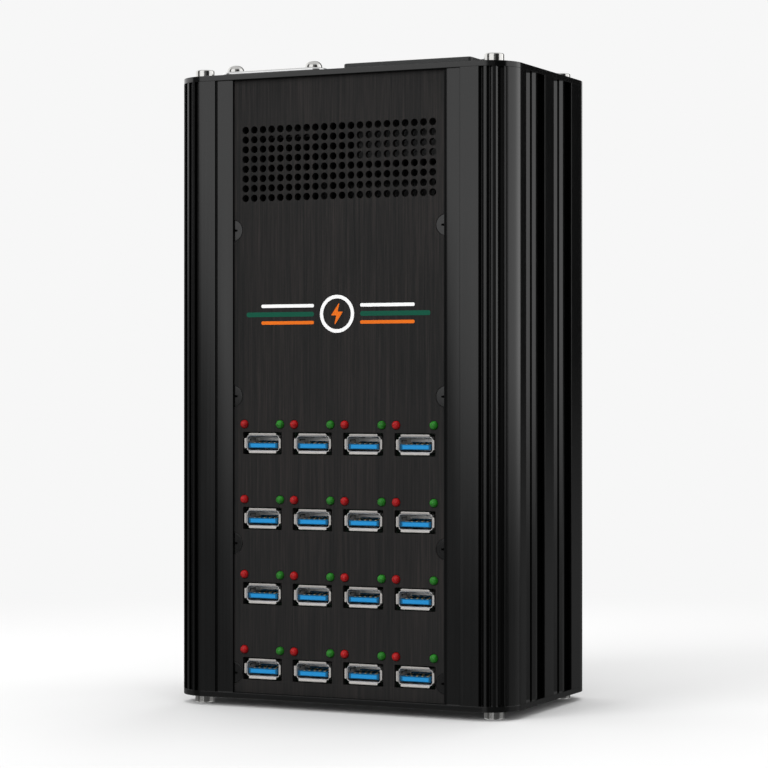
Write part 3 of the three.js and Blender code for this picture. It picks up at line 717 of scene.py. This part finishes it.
def port_slots():
    """Thin dark sheets laid just proud of the shell's inner walls where the cut-outs round the spring fingers are:
    painted shade in place of the openings.
    """
    b = Build()
    for s in (1, -1):
        v, f = plate(rect(7.0, 1.15, 4.6, 0.9, 0.3, 3), [], 6.20, 6.235, 0.0, lambda a, bb, c, s=s: (s * c, yd(a), bb))
        b.add(v, f)
        for x in (-3.1, 3.1):
            v, f = plate(rect(x, 6.9, 2.5, 5.4, 0.6, 3), [], 2.50, 2.53, 0.0, lambda a, bb, c, s=s: (a, yd(bb), s * c))
            b.add(v, f)
    return b


def port_tongue():
    b = Build()
    t = fillet([(-6.1, 3.2), (5.7, 3.2), (5.7, 13.9), (-6.1, 13.9)], 0.35, 3)
    v, f = plate(t, [], -1.8, 0.1, 0.18, lambda a, bb, c: (a, yd(bb), c))
    b.add(v, f)
    # raised block that the contacts spring from, at the root
    v, f = plate(rect(0, 12.4, 10.6, 3.0, 0.2, 2), [], 0.0, 0.75, 0.12, lambda a, bb, c: (a, yd(bb), c))
    b.add(v, f)
    return b


def port_tongue_face():
    """The inset end of the tongue in its own blue, a hair proud of the rounded edge, which wears a darker blue as
    painted shade.
    """
    return plate(rect(-0.15, -0.85, 10.0, 1.3, 0.15, 3), [], 3.17, 3.4, 0.0, lambda a, bb, c: (a, yd(c), bb))


def port_contacts():
    b = Build()
    for k in range(5):          # short pads near the tip
        x = (k - 2) * 2.0
        v, f = block(x - 0.36, x + 0.36, 0, 1.5, 0.06, 0.22, 0.06)
        b.add(v, f, Matrix.Translation((0, yd(4.05), 0)))
    for k in range(4):          # bowed springs behind them
        x = (-3.5, -1.0, 1.0, 3.5)[k]
        path = [(6.4, 0.16), (7.2, 0.42), (8.1, 0.62), (9.0, 0.58), (10.2, 0.36), (11.4, 0.3)]
        prof = [(d, z) for d, z in path] + [(d, z - 0.14) for d, z in path[::-1]]
        b.add(*loft([[(x + dx, yd(d), z) for d, z in prof] for dx in (-0.48, 0.48)]))
    return b


for r, z in enumerate(PORT_Z):
    for c, x in enumerate(PORT_X):
        at = Matrix.Translation((x, 0, z + BASE))
        tag = f"r{r + 1}c{c + 1}"
        p = port_shell()
        Build().add(p.v, p.f, at).make(f"port_tabs_{tag}", MAT["port_shell"], replaces=(f"charging_port_{tag}",), slot="port_shell", angle=40)
        p = port_tube()
        Build().add(p.v, p.f, at).make(f"port_tube_{tag}", MAT["port_tube"], slot="port_shell", angle=40)
        p = port_tongue()
        # the tongue's body and root block take the darker blue as painted shade; only its end face keeps its own blue
        Build().add(p.v, p.f, at).make(f"port_tongue_{tag}", MAT["tongue_painted_shade"], slot="tongue_blue")
        v, f = port_tongue_face()
        Build().add(v, f, at).make(f"port_tongue_face_{tag}", MAT["tongue_blue"], slot="tongue_blue")
        p = port_contacts()
        Build().add(p.v, p.f, at).make(f"port_contacts_{tag}", MAT["contact_metal"], slot="contact_metal")
        p = port_slots()
        # the slots are dark sheets on the walls, painted shade rather than holes
        Build().add(p.v, p.f, at).make(f"port_slots_{tag}", MAT["port_slot"], slot="led_carrier")
        # a pale metal back wall behind each port: painted light in the port's depths
        v, f = block(-6.5, 6.5, 0, 3.6, -2.8, 2.8, 0.12)
        Build().add(v, f, at @ Matrix.Translation((0, yd(12.6), 0))).make(f"port_back_{tag}", MAT["port_back"], slot="led_carrier")

# ------------------------------------------------------------------ indicator lights
LENS = [(0, 3.4), (1.35, 3.4), (1.5, 3.25), (1.5, 0.0)] + [
    (1.5 * math.cos(math.radians(a)), -1.4 * math.sin(math.radians(a))) for a in (10, 20, 30, 40, 50, 60, 70, 80)] + [(0, -1.4)]
for i, (x, z, s) in enumerate(leds):
    m = Matrix.Translation((x, yd(2.35), z + BASE)) @ Matrix.Rotation(-math.pi / 2, 4, "X")
    v, f = lathe(LENS, 28, m)
    colour = "light_red" if s < 0 else "light_green"
    Build().add(v, f).make(f"{colour}_{i // 8 + 1}_{i % 8 + 1}", MAT[colour], slot=colour, angle=50)
for r, z in enumerate(PORT_Z):
    v, f = block(-38.7, 38.7, 0, 9.0, z + 6.8 + BASE - 2, z + 6.8 + BASE + 2, 0.3)
    Build().add(v, f, Matrix.Translation((0, yd(6.0), 0))).make(f"light_holder_bar_{r + 1}", MAT["led_carrier"], replaces=(f"led_row_{r + 1}",), slot="led_carrier")

# ------------------------------------------------------------------ fan, guard
FZ0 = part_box("fan_frame")[0].z * 1000
FZ1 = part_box("fan_frame")[1].z * 1000
fan_at = Matrix.Translation((FAN.x, FAN.y, 0))
screw_holes = [circle(a * 16, b * 16, 1.75, 20) for a in (-1, 1) for b in (-1, 1)]
fb = Build()
for z0, z1 in ((FZ0, FZ0 + 3.6), (FZ1 - 3.6, FZ1)):
    fb.add(*plate(rect(0, 0, 40, 40, 3.2, 8), [circle(0, 0, 18.8, 64)] + screw_holes, z0, z1, 0.3, up), fan_at)
fb.add(*plate(circle(0, 0, 19.95, 64), [circle(0, 0, 18.8, 64)], FZ0 + 3.4, FZ1 - 3.4, 0.1, up), fan_at)
fb.add(*plate(circle(0, 0, 11, 48), [circle(0, 0, 1.35, 16)], FZ0, FZ0 + 2.4, 0.3, up), fan_at)
for k in range(4):
    v, f = block(10.6, 19.2, -1.2, 1.2, FZ0 + 0.02, FZ0 + 2.38, 0.4)
    fb.add(v, f, fan_at @ Matrix.Rotation(k * math.pi / 2, 4, "Z"))
fb.make("fan_housing", MAT["fan_plastic"], replaces=("fan_frame",), slot="fan_plastic")

rb = Build()
hub = [(0, 3.0), (10.6, 3.0), (11.0, 3.3), (11.0, 17.2), (10.8, 17.9), (10.2, 18.3), (8.6, 18.4), (8.4, 18.25), (0, 18.25)]
rb.add(*lathe(hub, 64), fan_at @ Matrix.Translation((0, 0, FZ0)))
for k in range(7):
    rows = []
    for ir in range(6):
        r = 10.8 + (18.05 - 10.8) * ir / 5
        turn = math.radians(26 + 14 * (1 - ir / 5))
        line_a, line_b = [], []
        for s in range(11):
            t = s / 10 - 0.5
            ang = t * turn * 1.9
            z = 10.6 + t * 12.6 + 1.4 * (0.25 - t * t) * 3
            th = 0.75 * (1 - (2 * t) ** 4) + 0.12
            for line, sg in ((line_a, 1), (line_b, -1)):
                line.append((r * math.cos(ang + sg * th / 2 / r), r * math.sin(ang + sg * th / 2 / r), z - sg * th * 0.35))
        rows.append(line_a + line_b[::-1])
    rb.add(*loft(rows), fan_at @ Matrix.Translation((0, 0, FZ0)) @ Matrix.Rotation(2 * math.pi * k / 7, 4, "Z"))
rb.make("fan_impeller", MAT["fan_plastic"], body="rotor", replaces=("fan_rotor",), slot="fan_plastic")

gb = Build()
for r in (18.5, 12.3, 6.1):
    ring = [(r * math.cos(2 * math.pi * k / 96), r * math.sin(2 * math.pi * k / 96), TOP + 2.3) for k in range(96)]
    gb.add(*tube(ring, 0.8, 14, closed=True), fan_at)
for turn in (45, 135, 225, 315):
    a = math.radians(turn)
    cx, cy, er = 16 * math.sqrt(2) * math.cos(a), 16 * math.sqrt(2) * math.sin(a), 2.5
    path = [(t * math.cos(a), t * math.sin(a), TOP + h) for t, h in ((0.0, 1.0), (6, 1.0), (12, 1.0), (18.4, 1.0), (19.7, 0.82))]
    eye = [(cx + er * math.cos(a + math.pi + w), cy + er * math.sin(a + math.pi + w), TOP + 0.82)
           for w in [math.radians(d) for d in range(12, 350, 14)]]
    gb.add(*tube(path + eye, 0.8, 12), fan_at)
frame_line = [(x, y, TOP + 2.35) for x, y in rect(0, 0, 40.0, 40.0, 4.0, 10)]
side_run = [k / 6 for k in range(1, 6)]
full = []
for i, p in enumerate(frame_line):
    q = frame_line[(i + 1) % len(frame_line)]
    full.append(p)
    if math.dist(p, q) > 5:
        full += [(p[0] + (q[0] - p[0]) * t, p[1] + (q[1] - p[1]) * t, p[2]) for t in side_run]
gb.add(*tube(full, 0.8, 14, closed=True), fan_at)
gb.make("fan_finger_guard", MAT["chrome_wire"], replaces=("fan_guard",), slot="chrome_wire", angle=60)

# ------------------------------------------------------------------ mains inlet module
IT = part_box("inlet_module")[1].z * 1000      # top of the flange
at = Matrix.Translation((INLET.x, INLET.y, 0))
ib = Build()
sx, sy = -8.6, -7.5
socket = [(sx - 12.2, sy - 8.4), (sx + 12.2, sy - 8.4), (sx + 12.2, sy + 4.2), (sx + 8, sy + 8.4), (sx - 8, sy + 8.4), (sx - 12.2, sy + 4.2)]
socket = fillet(ccw(socket), 1.0, 4)
well = rect(13.6, -0.5, 14, 24.8, 0.6, 3)
drawer_well = rect(-8.6, 9.4, 24.4, 8.8, 0.5, 3)
ib.add(*plate(rect(0, 0, 49.9, 48, 1.6, 6), [socket, well, drawer_well], TOP, IT, 0.45, up, hole_bevel=0.3), at)
ib.add(*plate(rect(0, 0, 44, 42, 1.0, 3), [offset(socket, -0.02), offset(ccw(well), -0.02), offset(ccw(drawer_well), -0.02)], IT - 15.5, TOP + 0.1, 0, up), at)
ib.add(*plate(rect(0, 0, 44, 42, 1.0, 3), [], TOP - 31, IT - 15.4, 0.4, up), at)
ib.make("inlet_housing", MAT["inlet_plastic"], replaces=("inlet_module",), slot="inlet_plastic")
pins = Build()
for px, py in ((-7, -2), (7, -2), (0, 2)):
    v, f = block(sx + px - 1, sx + px + 1, sy + py - 2, sy + py + 2, IT - 15.5, IT - 2, 0.35)
    pins.add(v, f, at)
pins.make("inlet_contact_pins", MAT["contact_metal"], slot="contact_metal")

# rocker, at rest with its front end pressed
PIV = Vector((INLET.x + 13.6, INLET.y - 0.5, IT - 2.4))
tilt = Matrix.Translation(PIV) @ Matrix.Rotation(math.radians(8), 4, "X")
rise = 11.5 * math.tan(math.radians(8))
n_side = 12
top_line = []
for k in range(n_side + 1):
    yy = -11.5 + 23 * k / n_side
    top_line.append((yy, 2.7 + abs(yy) * math.tan(math.radians(8))))
side = [(11.5, 1.2), (7.6, -5), (-7.6, -5), (-11.5, 1.2)]
outline_r = fillet(top_line + side, 0.45, 3)
v, f = plate(outline_r, [], -6.6, 6.6, 0.4, lambda a, b, c: (c, a, b))
rk = Build().add(v, f, tilt)
v, f = lathe([(0, -7.7), (1.05, -7.7), (1.2, -7.55), (1.2, 7.55), (1.05, 7.7), (0, 7.7)], 20)
rk.add(v, f, tilt @ Matrix.Rotation(math.pi / 2, 4, "Y"))
rk.make("power_rocker_paddle", MAT["switch_plastic"], body="power_rocker", replaces=("rocker_switch",), slot="switch_plastic")
marks = Build()
for sgn in (-1, 1):
    slope = Matrix.Translation((0, sgn * 6.6, 2.7 + 6.6 * math.tan(math.radians(8)))) @ Matrix.Rotation(sgn * math.radians(8), 4, "X")
    if sgn > 0:       # a bar for on
        v, f = block(-0.35, 0.35, -2.2, 2.2, -0.05, 0.06, 0.03)
        marks.add(v, f, tilt @ slope)
    else:             # a ring for off
        v, f = plate(circle(0, 0, 2.2, 40), [circle(0, 0, 1.6, 40)], -0.05, 0.06, 0.03, up)
        marks.add(v, f, tilt @ slope)
marks.make("rocker_marks", MAT["print_white"], body="power_rocker", slot="print_white")

# fuse drawer
dr = Build()
d_at = Matrix.Translation((INLET.x - 8.6, INLET.y + 9.4, IT))
v, f = plate(rect(0, 0, 23.6, 8.0, 0.5, 4), [], -2.2, 0.0, 0.3, up)
dr.add(v, f, d_at)
lip = fillet([(-4.0, -0.3), (-2.6, -0.3), (-2.6, 0.75), (-3.1, 1.05), (-3.9, 1.05), (-4.0, 0.8)], 0.15, 2)
dr.add(*plate(lip, [], -5, 5, 0.25, lambda a, b, c: (c, a, b)), d_at)
for x0, x1, y0, y1, z0, z1 in ((-11.6, 11.6, -3.6, -2.8, -18, -2.0), (-11.6, -10.4, -2.85, 3.6, -18, -2.0),
                               (10.4, 11.6, -2.85, 3.6, -18, -2.0), (-10.45, 10.45, -2.85, 3.6, -8.5, -2.0), (-10.45, 10.45, -2.85, 3.6, -18, -14.5)):
    v, f = block(x0, x1, y0, y1, z0, z1, 0.12)
    dr.add(v, f, d_at)
dr.make("fuse_drawer_tray", MAT["inlet_plastic"], body="fuse_tray", replaces=("fuse_drawer",), slot="inlet_plastic")
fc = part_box("fuse_cartridge")
fmid = (fc[0] + fc[1]) * 500
to_x = Matrix.Translation(fmid) @ Matrix.Rotation(math.pi / 2, 4, "Y")
v, f = lathe([(0, -4.6), (2.3, -4.6), (2.3, 4.6), (0, 4.6)], 32)
Build().add(v, f, to_x).make("fuse_tube", MAT["fuse_glass"], body="fuse_tray", replaces=("fuse_cartridge",), slot="fuse_glass")
ends = Build()
for s in (-1, 1):
    cap = [(0, s * 4.7), (2.42, s * 4.7), (2.5, s * 4.85), (2.5, s * 9.7), (2.3, s * 10.0), (0, s * 10.0)]
    ends.add(*lathe(cap, 32), to_x)
ends.make("fuse_end_caps", MAT["stainless"], body="fuse_tray", slot="stainless")

# ------------------------------------------------------------------ printed emblem: a bolt in a ring between two bars
# it lies on the panel's face, 0.05 mm proud
GX, GZ = -0.2, 137.6


def print_shape(name, outer, holes, material, slot):
    v, f = plate(outer, holes, 2.30, 2.345, 0.0, front)
    make(name, v, f, material, slot=slot)


print_shape("emblem_ring", circle(GX, GZ, 6.7, 72), [circle(GX, GZ, 5.45, 72)], MAT["print_white"], "print_white")
bolt = [(GX + 1.15, GZ + 4.35), (GX - 2.35, GZ - 0.55), (GX - 0.25, GZ - 0.55), (GX - 1.15, GZ - 4.35), (GX + 2.35, GZ + 0.75), (GX + 0.25, GZ + 0.75)]
print_shape("emblem_bolt", fillet(ccw(bolt), 0.18, 3), [], MAT["print_orange"], "print_orange")
for s, tag in ((-1, "left"), (1, "right")):
    print_shape(f"emblem_bar_{tag}", rect(GX + s * 22.6, GZ, 27.0, 1.7, 0.7, 6), [], MAT["print_green"], "print_green")
    print_shape(f"emblem_line_{tag}", rect(GX + s * 19.6, GZ + 3.0, 21.0, 1.2, 0.5, 6), [], MAT["print_white"], "print_white")
    print_shape(f"emblem_foot_{tag}", rect(GX + s * 19.6, GZ - 3.0, 21.0, 1.2, 0.5, 6), [], MAT["print_orange"], "print_orange")

# ------------------------------------------------------------------ floor, surround, light
PALE = 0.93


def out_of_the_light(ob):
    ob.visible_diffuse = ob.visible_glossy = ob.visible_transmission = ob.visible_volume_scatter = ob.visible_shadow = False


floor_me = bpy.data.meshes.new("studio_floor")
R = 9.0
floor_me.from_pydata([(-R, -R, 0), (R, -R, 0), (R, R, 0), (-R, R, 0)], [], [(0, 1, 2, 3)])
floor = bpy.data.objects.new("studio_floor", floor_me)
scene.collection.objects.link(floor)
fm, fnt, fbs = new_mat("studio_floor", (0.62, 0.62, 0.62), 0.9)
fbs.inputs["Specular IOR Level"].default_value = 0.0
# the floor melts into the pale surround away from the object
f_tc = fnt.nodes.new("ShaderNodeTexCoord")
f_len = fnt.nodes.new("ShaderNodeVectorMath")
f_len.operation = "LENGTH"
fnt.links.new(f_tc.outputs["Object"], f_len.inputs[0])
f_mr = fnt.nodes.new("ShaderNodeMapRange")
f_mr.interpolation_type = "SMOOTHSTEP"
f_mr.inputs["From Min"].default_value = 0.16
f_mr.inputs["From Max"].default_value = 0.50
fnt.links.new(f_len.outputs["Value"], f_mr.inputs["Value"])
f_em = fnt.nodes.new("ShaderNodeEmission")
f_em.inputs["Color"].default_value = (PALE, PALE, PALE, 1)
f_mix = fnt.nodes.new("ShaderNodeMixShader")
fnt.links.new(f_mr.outputs["Result"], f_mix.inputs[0])
fnt.links.new(fbs.outputs[0], f_mix.inputs[1])
fnt.links.new(f_em.outputs[0], f_mix.inputs[2])
fnt.links.new(f_mix.outputs[0], fnt.nodes["Material Output"].inputs["Surface"])
floor_me.materials.append(fm)
out_of_the_light(floor)

dome_me = bpy.data.meshes.new("studio_surround")
v, f = lathe([(0, -12.0)] + [(12 * math.cos(math.radians(t)), 12 * math.sin(math.radians(t))) for t in range(-80, 81, 10)] + [(0, 12.0)], 48)
dome_me.from_pydata(v, [], f)
dome = bpy.data.objects.new("studio_surround", dome_me)
scene.collection.objects.link(dome)
dm = bpy.data.materials.new("studio_surround")
dm.use_nodes = True
dm.node_tree.nodes.clear()
em = dm.node_tree.nodes.new("ShaderNodeEmission")
em.inputs["Color"].default_value = (PALE, PALE, PALE, 1)
out = dm.node_tree.nodes.new("ShaderNodeOutputMaterial")
dm.node_tree.links.new(em.outputs[0], out.inputs[0])
dome_me.materials.append(dm)
out_of_the_light(dome)

world = bpy.data.worlds.new("studio")
scene.world = world
world.use_nodes = True
wn = world.node_tree
bg = wn.nodes["Background"]
bg.inputs["Color"].default_value = (1, 1, 1, 1)
tc = wn.nodes.new("ShaderNodeTexCoord")
sep = wn.nodes.new("ShaderNodeSeparateXYZ")
wn.links.new(tc.outputs["Generated"], sep.inputs[0])


def wm(op, a, b=0.0):
    return math_node(wn, op, a, b)


def step(value, lo, hi):
    mr = wn.nodes.new("ShaderNodeMapRange")
    mr.interpolation_type = "SMOOTHSTEP"
    mr.inputs["From Min"].default_value = lo
    mr.inputs["From Max"].default_value = hi
    wn.links.new(value, mr.inputs["Value"])
    return mr.outputs["Result"]


# compass angle from the front (-Y) towards the right (+X), and height, both in degrees
turn = wm("MULTIPLY", wm("ARCTAN2", sep.outputs["X"], wm("MULTIPLY", sep.outputs["Y"], -1.0)), 57.29578)
high = wm("MULTIPLY", wm("ARCSINE", sep.outputs["Z"]), 57.29578)


def between(a0, a1, s):
    return wm("MULTIPLY", step(turn, a0 - s, a0 + s), wm("SUBTRACT", 1.0, step(turn, a1 - s, a1 + s)))


def total(terms):
    out = None
    for k, t in terms:
        t = wm("MULTIPLY", t, k)
        out = t if out is None else wm("ADD", out, t)
    return out


# soft boxes stand front left, far left and right; the gaps between them stay dark
above = total([(1.33, between(-37, 17, 2.5)), (1.25, between(-150, -66, 3)), (0.13, between(17, 42, 3)),
               (1.36, between(82, 146, 4)), (0.38, between(124, 146, 6)), (0.08, between(-66, -37, 3))])
behind = step(wm("ABSOLUTE", turn), 171, 178)
above = wm("ADD", wm("ADD", above, 0.022), wm("MULTIPLY", behind, 0.8))
below = total([(0.13, between(-37, 6, 4)), (0.30, between(4, 17, 3)), (0.10, between(-150, -60, 6)),
               (0.15, between(92, 139, 7)), (0.05, between(130, 220, 7))])
below = wm("ADD", below, 0.07)
slant = wm("MINIMUM", wm("MAXIMUM", wm("MULTIPLY", wm("ADD", turn, 26.0), -0.42), -1.5), 3.2)
lift = step(wm("SUBTRACT", high, slant), -3.0, 3.0)
sky = wm("ADD", wm("MULTIPLY", above, lift), wm("MULTIPLY", below, wm("SUBTRACT", 1.0, lift)))
# the same boxes, dimmer, stand well below the horizon too, so the walls still read from higher up
under = wm("SUBTRACT", 1.0, step(high, -14, -9))
low = wm("ADD", wm("MULTIPLY", above, 0.34), 0.12)
sky = wm("ADD", wm("MULTIPLY", sky, wm("SUBTRACT", 1.0, under)), wm("MULTIPLY", low, under))
# the pattern fades into one even overhead light
zenith = step(high, 25, 60)
sky = wm("ADD", wm("MULTIPLY", sky, wm("SUBTRACT", 1.0, zenith)), wm("MULTIPLY", zenith, 0.8))
wn.links.new(sky, bg.inputs["Strength"])


def area(name, loc, target, size, power):
    """A soft lamp that lights colours but leaves no mark of its own in the gloss."""
    d = bpy.data.lights.new(name, "AREA")
    d.shape = "RECTANGLE"
    d.size, d.size_y = size
    d.energy = power
    o = bpy.data.objects.new(name, d)
    o.location = loc
    o.rotation_euler = (Vector(target) - Vector(loc)).to_track_quat("-Z", "Y").to_euler()
    o.visible_glossy = False
    scene.collection.objects.link(o)
    return o


area("key", (-0.7, -1.5, 0.9), (0, 0, 0.1), (1.0, 1.0), 22)
area("fill", (1.3, -1.3, 0.6), (0, 0, 0.1), (1.0, 1.0), 9)
area("back", (0.0, 1.6, 1.1), (0, 0, 0.1), (1.2, 1.0), 14)
area("overhead", (0.0, 0.0, 1.7), (0, 0, 0), (1.6, 1.6), 14)

scene.view_settings.view_transform = "Standard"
scene.view_settings.look = "None"
